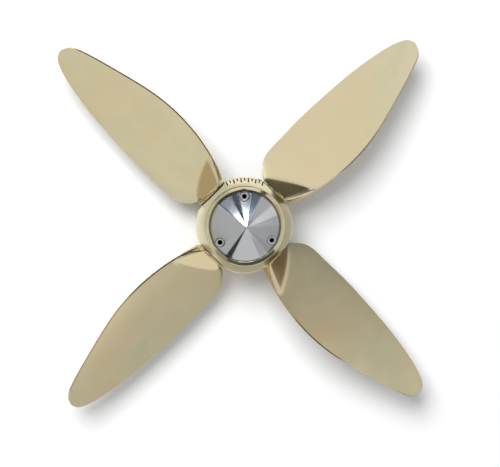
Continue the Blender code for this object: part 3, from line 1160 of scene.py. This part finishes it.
@dataclass(frozen=True)
class SocketScrew:
    """Sizes of a socket-head screw."""

    shank: float
    head: float
    height: float
    half_key: float
    bevel: float = 0.0005
    bevel_round: float = 0.4
    bevel_pieces: int = 2
    head_edge: float = 0.0003
    neck: float = 0.0002
    point_share: float = 0.25
    ring_share: float = 1.24
    key_lead: float = 0.10
    key_depth_share: float = 0.36
    key_point: float = 0.6
    steps: int = 48

    def shape(self, length: float) -> Shape:
        """The screw with the top of its head at zero and its shank downwards.

        Args:
            length: from the top of the head to the end of the shank.

        Returns:
            The shape, with an open ring where the key goes that is closed by the socket.
        """
        ring = self.half_key * self.ring_share
        lead = self.half_key * self.key_lead
        point = self.shank * self.point_share
        head = [(self.head - self.head_edge, -self.height),
                (self.head, -self.height + self.head_edge),
                (self.head, -self.bevel), (self.head - self.bevel, 0.0), (ring, 0.0)]
        profile = [
            (0.0, -length),
            (self.shank - point, -length),
            (self.shank, -length + point),
            (self.shank, -self.height - self.neck),
            (self.shank + self.neck, -self.height),
            *rounded(head, self.bevel * self.bevel_round, self.bevel_pieces),
            (ring - lead, -lead),
        ]
        shape = Shape.turned(profile, self.steps)
        bm = shape.bm
        rim = [edge for edge in bm.edges if edge.is_boundary]
        level = profile[-1][1]
        corner = self.half_key / math.cos(math.pi / 6)
        hexagon = bmesh.ops.create_circle(bm, cap_ends=False, segments=6, radius=corner,
                                          matrix=Matrix.Translation((0, 0, level)))["verts"]
        sides = list({edge for vert in hexagon for edge in vert.link_edges})
        bmesh.ops.bridge_loops(bm, edges=rim + sides)
        floor = bmesh.ops.extrude_edge_only(bm, edges=sides)["geom"]
        depth = self.height * self.key_depth_share
        sunk = [item for item in floor if isinstance(item, bmesh.types.BMVert)]
        bmesh.ops.translate(bm, verts=sunk, vec=(0, 0, -depth - level))
        low = [item for item in floor if isinstance(item, bmesh.types.BMEdge) and item.is_boundary]
        bottom = bmesh.ops.contextual_create(bm, geom=low)["faces"]
        drilled = bmesh.ops.poke(bm, faces=bottom)
        bmesh.ops.translate(bm, verts=drilled["verts"], vec=(0, 0, -self.half_key * self.key_point))
        # the socket's walls and drilled floor take the second material, which carries the recess's
        # painted shade
        walls = [item for item in floor if isinstance(item, bmesh.types.BMFace)]
        for face in [*walls, *drilled["faces"]]:
            face.material_index = 1
        return shape


M6 = SocketScrew(0.0030, 0.0049, 0.0060, 0.0025)
M5 = SocketScrew(0.0025, 0.0042, 0.0050, 0.0020)
M3 = SocketScrew(0.0015, 0.00275, 0.0030, 0.00125, bevel=0.0003)


@dataclass
class Fasteners:
    """The three rings of screws and the grease plug."""

    hub: HubShell
    cap: ConeCap
    cap_screw_end: float = 0.0620
    bolt_depth: float = 0.0007
    bolt_end: float = 0.0640
    cover_screw_depth: float = 0.0009
    cover_screw_end: float = 0.0134
    key_turns: tuple[float, ...] = (14.0, -9.0, 25.0, 3.0, 38.0, -20.0)
    plug_radius: float = 0.0040
    plug_length: float = 0.0073
    plug_slot: Point = (0.0012, 0.0020)
    plug_edge: float = 0.0004
    plug_steps: int = 40

    def ring(self, name: str, node: str, screw: SocketScrew, places: Sequence[Matrix],
             span: Point, facing: Facing) -> None:
        """Make a ring of like screws.

        Args:
            name: what the pieces are called, before their numbers.
            node: what their CAD nodes are called, before their numbers.
            screw: their sizes.
            places: their placing matrices.
            span: heights of the tops of the heads and of the ends.
            facing: which way the heads look.
        """
        top, end = span
        turn = Matrix.Identity(4) if facing is Facing.AFT else Matrix.Rotation(math.pi, 4, "X")
        for number, place in enumerate(places, 1):
            key = Matrix.Rotation(math.radians(self.key_turns[number - 1]), 4, "Z")
            matrix = place @ Matrix.Translation((0, 0, top)) @ turn @ key
            piece = screw.shape(abs(top - end)).moved(matrix).object(f"{name}_{number}")
            finished(piece, STEEL, f"{node}_{number}", inner=SHADED_SOCKET)

    def plug(self) -> None:
        """Make the slotted grease plug in the side of the hub."""
        top = self.hub.barrel(self.hub.plug_height)[0] - self.hub.gap
        edge, end = self.plug_edge, top - self.plug_length
        place = self.hub.plug_place()
        profile = [(0.0, end), (self.plug_radius, end), (self.plug_radius, top - edge),
                   (self.plug_radius - edge, top), (0.0, top)]
        plug = Shape.turned(profile, self.plug_steps).moved(place).object("plug_for_grease")
        width, depth = self.plug_slot
        slot = Shape().block((2 * self.hub.excess, width, 2 * depth),
                             place @ Matrix.Translation((0, 0, top)))
        cut(plug, [slot])
        finished(plug, STEEL, "grease_plug")

    def build(self) -> None:
        """Make all screws and the plug."""
        hub = self.hub
        self.ring("cone_screw", "cap_screw", M6, hub.cap_screw_places(),
                  (self.cap.screw_top, self.cap_screw_end), Facing.AFT)
        self.ring("half_bolt", "hub_bolt", M5, hub.bolt_places(),
                  (self.bolt_depth, self.bolt_end), Facing.FORWARD)
        self.ring("ring_screw", "cover_screw", M3, hub.cover_screw_places(),
                  (self.cover_screw_depth, self.cover_screw_end), Facing.FORWARD)
        self.plug()


@dataclass
class ShaftFittings:
    """The drive sleeve with its keyway, the washer, the nut and the forward cover."""

    hub: HubShell
    sleeve_radius: float = 0.0240
    sleeve_bores: Point = (0.0150, 0.0123)
    sleeve_span: Point = (0.0010, 0.0550)
    keyway: Point = (0.0080, 0.0035)
    washer_radius: float = 0.0190
    washer_thickness: float = 0.0015
    nut_flats: float = 0.0300
    nut_bore: float = 0.0095
    nut_top: float = 0.0690
    thread_pitch: float = 0.0015
    thread_depth: float = 0.0007
    thread_lead: float = 0.001
    thread_steps: int = 64
    nut_face_share: float = 0.98
    nut_excess: float = 0.002
    nut_chamfer: float = 30.0
    nut_steps: int = 96
    sleeve_edge: float = 0.0005
    washer_edge: float = 0.0002
    cover_edge: float = 0.0003
    cover_radius: float = 0.0322
    cover_thickness: float = 0.0055
    cover_screw_seat: Point = (0.00305, 0.0042)
    steps: int = 120

    def sleeve(self) -> None:
        """Make the sleeve."""
        low, high = self.sleeve_span
        large, small = self.sleeve_bores
        outer, edge = self.sleeve_radius, self.sleeve_edge
        profile = [(large + edge, low), (outer - edge, low), (outer, low + edge), (outer, high),
                   (small + edge, high), (small, high - edge), (large, low + edge)]
        sleeve = Shape.turned(profile, self.steps).object("taper_sleeve")
        width, depth = self.keyway
        reach = large + depth
        key = Shape().block((reach, width, 4 * high), Matrix.Translation((reach / 2, 0, 0)))
        cut(sleeve, [key])
        finished(sleeve, MACHINED, "drive_sleeve")

    def washer(self) -> None:
        """Make the washer."""
        low = self.sleeve_span[1] + self.hub.gap
        high = low + self.washer_thickness
        hole = self.nut_bore + self.hub.gap
        outer, edge = self.washer_radius, self.washer_edge
        profile = [(hole, low), (outer - edge, low), (outer, low + edge), (outer, high - edge),
                   (outer - edge, high), (hole, high)]
        washer = Shape.turned(profile, self.steps).object("nut_washer")
        finished(washer, MACHINED, "shaft_washer")

    def nut(self) -> None:
        """Make the chamfered nut with its threaded hole."""
        low = self.sleeve_span[1] + 2 * self.hub.gap + self.washer_thickness
        corner = self.nut_flats / math.sqrt(3)
        nut = Shape().prism(6, corner, low, self.nut_top).object("lock_nut")
        face = self.nut_flats / 2 * self.nut_face_share
        wide = corner + self.nut_excess
        drop = (wide - face) * math.tan(math.radians(self.nut_chamfer))
        keep = [(0.0, low), (face, low), (wide, low + drop), (wide, self.nut_top - drop),
                (face, self.nut_top), (0.0, self.nut_top)]
        cut(nut, [Shape.turned(keep, self.nut_steps)], "INTERSECT")
        crests = []
        start, pitch = low - self.thread_lead, self.thread_pitch
        for i in range(int((self.nut_top - low) / pitch) + 1):
            crests.append((self.nut_bore, start + pitch * (i + 0.5)))
            crests.append((self.nut_bore + self.thread_depth, start + pitch * (i + 1)))
        thread = Shape.turned([(0.0, crests[0][1]), *crests, (0.0, crests[-1][1])],
                              self.thread_steps)
        cut(nut, [thread])
        finished(nut, STEEL, "shaft_nut")

    def cover(self) -> None:
        """Make the cover ring."""
        inner = self.sleeve_radius + self.hub.running_gap
        low, high, edge = self.hub.gap, self.cover_thickness, self.cover_edge
        outer, excess = self.cover_radius, self.hub.excess
        profile = [(inner + edge, low), (outer - edge, low), (outer, low + edge), (outer, high),
                   (inner, high), (inner, low + edge)]
        cover = Shape.turned(profile, self.steps).object("cover_ring")
        seat, depth = self.cover_screw_seat
        places = self.hub.cover_screw_places()
        cut(cover, [drilled(places, self.hub.cover_screw_hole, -excess, excess),
                    drilled(places, seat, -excess, depth)])
        finished(cover, MACHINED, "forward_cover")

    def build(self) -> None:
        """Make the parts on the shaft."""
        self.sleeve()
        self.washer()
        self.nut()
        self.cover()


@dataclass
class IndexMarks:
    """Plain graduation ticks, engraved and filled, on the hub's chamfer between two blades."""

    hub: HubShell
    middle: float = 90.0
    spacing: float = 4.6
    count: int = 11
    width: float = 0.0016
    long_tick: float = 0.0064
    short_tick: float = 0.0040
    outer_share: float = 0.02
    thickness: float = 0.00006

    def build(self) -> None:
        """Make the row of ticks."""
        foot, top = Vector(self.hub.chamfer_foot), Vector((self.hub.lip_radius, self.hub.height))
        slope = top - foot
        lean = Matrix.Rotation(math.atan2(-slope.y, slope.x), 4, "Y")
        shape = Shape()
        for i in range(self.count):
            bearing = math.radians(self.middle + (i - (self.count - 1) / 2) * self.spacing)
            length = self.short_tick if i % 2 else self.long_tick
            spot = foot + slope * self.outer_share + slope.normalized() * length / 2
            place = Matrix.Rotation(bearing, 4, "Z") @ Matrix.Translation((spot.x, 0, spot.y))
            shape.block((length, self.width, self.thickness), place @ lean)
        finished(shape.object("index_marks"), FILL)


# Studio


@dataclass(frozen=True)
class Card:
    """A patch of the studio's surroundings that shows in the metal, in degrees."""

    bearing: float
    width: float
    low: float
    high: float
    level: float
    soft: float = 2.0
    tint: Colour = (1.0, 1.0, 1.0)


@dataclass(frozen=True)
class Softbox:
    """A studio lamp aimed at the propeller, hidden from the camera.

    The bearing and elevation say where it hangs, receivers which pieces it lights (all, if none),
    and mirrored whether the metal shows it.
    """

    name: str
    bearing: float
    elevation: float
    distance: float
    size: Point
    radiance: float
    receivers: tuple[str, ...] = ()
    tint: Colour = (1.0, 1.0, 1.0)
    mirrored: bool = True


CONE_ONLY = ("zinc_cone",)
BLADES_ONLY = ("bronze_blade_1", "bronze_blade_2", "bronze_blade_3", "bronze_blade_4")
WARM = (1.12, 0.96, 0.72)
COOL = (0.80, 0.95, 1.20)
COOL_WHITE = (0.93, 0.98, 1.04)
COOL_TOP = (0.86, 0.96, 1.14)


@dataclass
class Studio:
    """The floor, the soft surroundings, the lamps and the camera."""

    low_level: Colour = (0.15, 0.11, 0.06)
    camera_level: float = 1.0
    cards: tuple[Card, ...] = (
        Card(180.0, 400.0, 24.0, 91.0, 0.72, 5.0),
        Card(180.0, 400.0, 66.0, 91.0, 0.80, 5.0, COOL_TOP),
        Card(180.0, 400.0, -91.0, 2.0, 0.95, 1.5),
        Card(194.0, 106.0, 20.0, 91.0, 0.74),
        Card(185.0, 80.0, 4.0, 36.0, 0.46, 3.0, WARM),
        Card(282.8, 56.0, 3.0, 91.0, 0.92),
        Card(307.0, 18.0, 24.0, 36.0, 0.58, 1.5),
        Card(248.7, 9.2, 12.0, 72.0, 0.06, 0.8),
        Card(316.0, 10.4, 20.0, 91.0, 0.57, 4.0),
        Card(343.0, 44.0, 31.0, 91.0, 0.66, 3.0),
        Card(31.0, 52.0, 23.0, 91.0, 0.35, 3.0),
        Card(13.0, 34.0, 27.0, 91.0, 0.82, 10.0),
        Card(97.0, 88.0, 3.0, 36.0, 0.085, 1.6, WARM),
        Card(97.0, 88.0, 34.0, 80.0, 0.12, 1.6, COOL),
        Card(60.0, 16.0, 41.0, 70.0, 0.90, 1.6, COOL),
    )
    lamps: tuple[Softbox, ...] = (
        Softbox("key_lamp", 120.0, 58.0, 3.0, (1.70, 1.70), 12.8, (), (1.0, 1.0, 1.0), False),
        Softbox("cone_lamp_left", 125.5, 62.0, 1.0, (0.26, 0.34), 8.5, CONE_ONLY, COOL_WHITE),
        Softbox("cone_lamp_right", 82.5, 60.5, 1.0, (0.28, 0.36), 11.0, CONE_ONLY, COOL_WHITE),
        Softbox("cone_lamp_east", 33.0, 41.0, 1.0, (0.62, 0.34), 0.42, CONE_ONLY),
        Softbox("blade_lamp_north", 130.0, 47.0, 3.0, (2.2, 1.8), 0.80, BLADES_ONLY),
        Softbox("blade_lamp_west", 229.0, 41.0, 3.0, (1.6, 1.6), 0.09, BLADES_ONLY),
    )
    floor_size: float = 12.0
    floor_sides: int = 96
    floor_height: float = -0.0002
    aim: Triple = (0.0, 0.0, 0.078)
    camera_tilt: float = 7.0
    camera_bearing: float = 135.0
    camera_distance: float = 2.2
    metres_per_pixel: float = 0.001106
    aim_pixel: Point = (245.3, 226.2)
    sensor: float = 36.0

    def surroundings(self) -> None:
        """Paint the soft surroundings into the world: plain to the camera, cards in the metal."""
        world = bpy.data.worlds.new("studio")
        bpy.context.scene.world = world
        world.use_nodes = True
        graph = Graph(world.node_tree)
        x, y, z = graph.parts_of(graph.signal("ShaderNodeTexCoord", "Generated"))
        bearing = graph.math("DEGREES", graph.math("ARCTAN2", y, x))
        height = graph.math("DEGREES", graph.math("ARCSINE", z))
        colour = self.low_level
        for card in self.cards:
            off = abs((bearing - card.bearing).wrapped(-180.0, 180.0))
            edge = card.width / 2
            across = off.step(edge + card.soft / 2, edge - card.soft / 2)
            up = height.step(card.low - card.soft, card.low + card.soft)
            down = height.step(card.high + card.soft, card.high - card.soft)
            shade = tuple(card.level * part for part in card.tint)
            colour = graph.colour_mix(across * up * down, colour, shade)
        seen = graph.signal("ShaderNodeLightPath", "Is Camera Ray")
        shown = graph.colour_mix(seen, colour, (self.camera_level,) * 3)
        back = graph.node("ShaderNodeBackground", None, {"Color": shown, "Strength": 1.0})
        graph.node("ShaderNodeOutputWorld", None, {"Surface": back.outputs[0]})

    def floor(self) -> None:
        """Lay the pale floor."""
        shape = Shape()
        bmesh.ops.create_circle(shape.bm, cap_ends=True, segments=self.floor_sides,
                                radius=self.floor_size,
                                matrix=Matrix.Translation((0, 0, self.floor_height)))
        floor = shape.object("studio_floor")
        floor.data.materials.append(FLOOR.material())

    def light(self, lamp: Softbox) -> None:
        """Hang one softbox."""
        data = bpy.data.lights.new(lamp.name, "AREA")
        data.shape = "RECTANGLE"
        data.size, data.size_y = lamp.size
        data.energy = lamp.radiance * math.pi * lamp.size[0] * lamp.size[1]
        data.color = lamp.tint
        hung = bpy.data.objects.new(lamp.name, data)
        hung.visible_camera = False
        hung.visible_glossy = lamp.mirrored
        bpy.context.scene.collection.objects.link(hung)
        away = direction(lamp.bearing, lamp.elevation)
        hung.location = away * lamp.distance
        hung.rotation_mode = "QUATERNION"
        hung.rotation_quaternion = away.to_track_quat("Z", "Y")
        if lamp.receivers:
            lit = bpy.data.collections.new(f"{lamp.name}_receivers")
            for name in lamp.receivers:
                lit.objects.link(bpy.data.objects[name])
            hung.light_linking.receiver_collection = lit

    def camera(self) -> None:
        """Set the camera at the photograph's viewing angle."""
        back = direction(self.camera_bearing, 90.0 - self.camera_tilt)
        right = Vector((0, 1, 0)).cross(back).normalized()
        up = back.cross(right)
        data = bpy.data.cameras.new("photo_camera")
        data.sensor_width = self.sensor
        data.lens = self.sensor * self.camera_distance / (PHOTO_WIDTH * self.metres_per_pixel)
        camera = bpy.data.objects.new("photo_camera", data)
        bpy.context.scene.collection.objects.link(camera)
        aside = (self.aim_pixel[0] - PHOTO_WIDTH / 2) * self.metres_per_pixel
        above = (PHOTO_HEIGHT / 2 - self.aim_pixel[1]) * self.metres_per_pixel
        place = Vector(self.aim) + back * self.camera_distance - right * aside - up * above
        turn = Matrix((right, up, back)).transposed().to_4x4()
        camera.matrix_world = Matrix.Translation(place) @ turn
        bpy.context.scene.camera = camera

    def build(self) -> None:
        """Set up the studio."""
        self.camera()
        self.surroundings()
        self.floor()
        for lamp in self.lamps:
            self.light(lamp)
        bpy.context.scene.view_settings.view_transform = "Standard"


def direction(bearing: float, elevation: float) -> Vector:
    """Unit vector of a bearing and an elevation in degrees."""
    level = Vector((math.cos(math.radians(elevation)), 0, math.sin(math.radians(elevation))))
    return Matrix.Rotation(math.radians(bearing), 3, "Z") @ level


def main() -> None:
    """Build the studio and the propeller, piece by piece."""
    logging.basicConfig(level=logging.INFO, format="%(name)s: %(message)s")
    blades = Blades()
    hub = HubShell(blades)
    cap = ConeCap(hub)
    for assembly in (blades, BladeSeals(hub), hub, cap, Fasteners(hub, cap), IndexMarks(hub),
                     ShaftFittings(hub)):
        assembly.build()
    Studio().build()


if __name__ == "__main__":
    main()
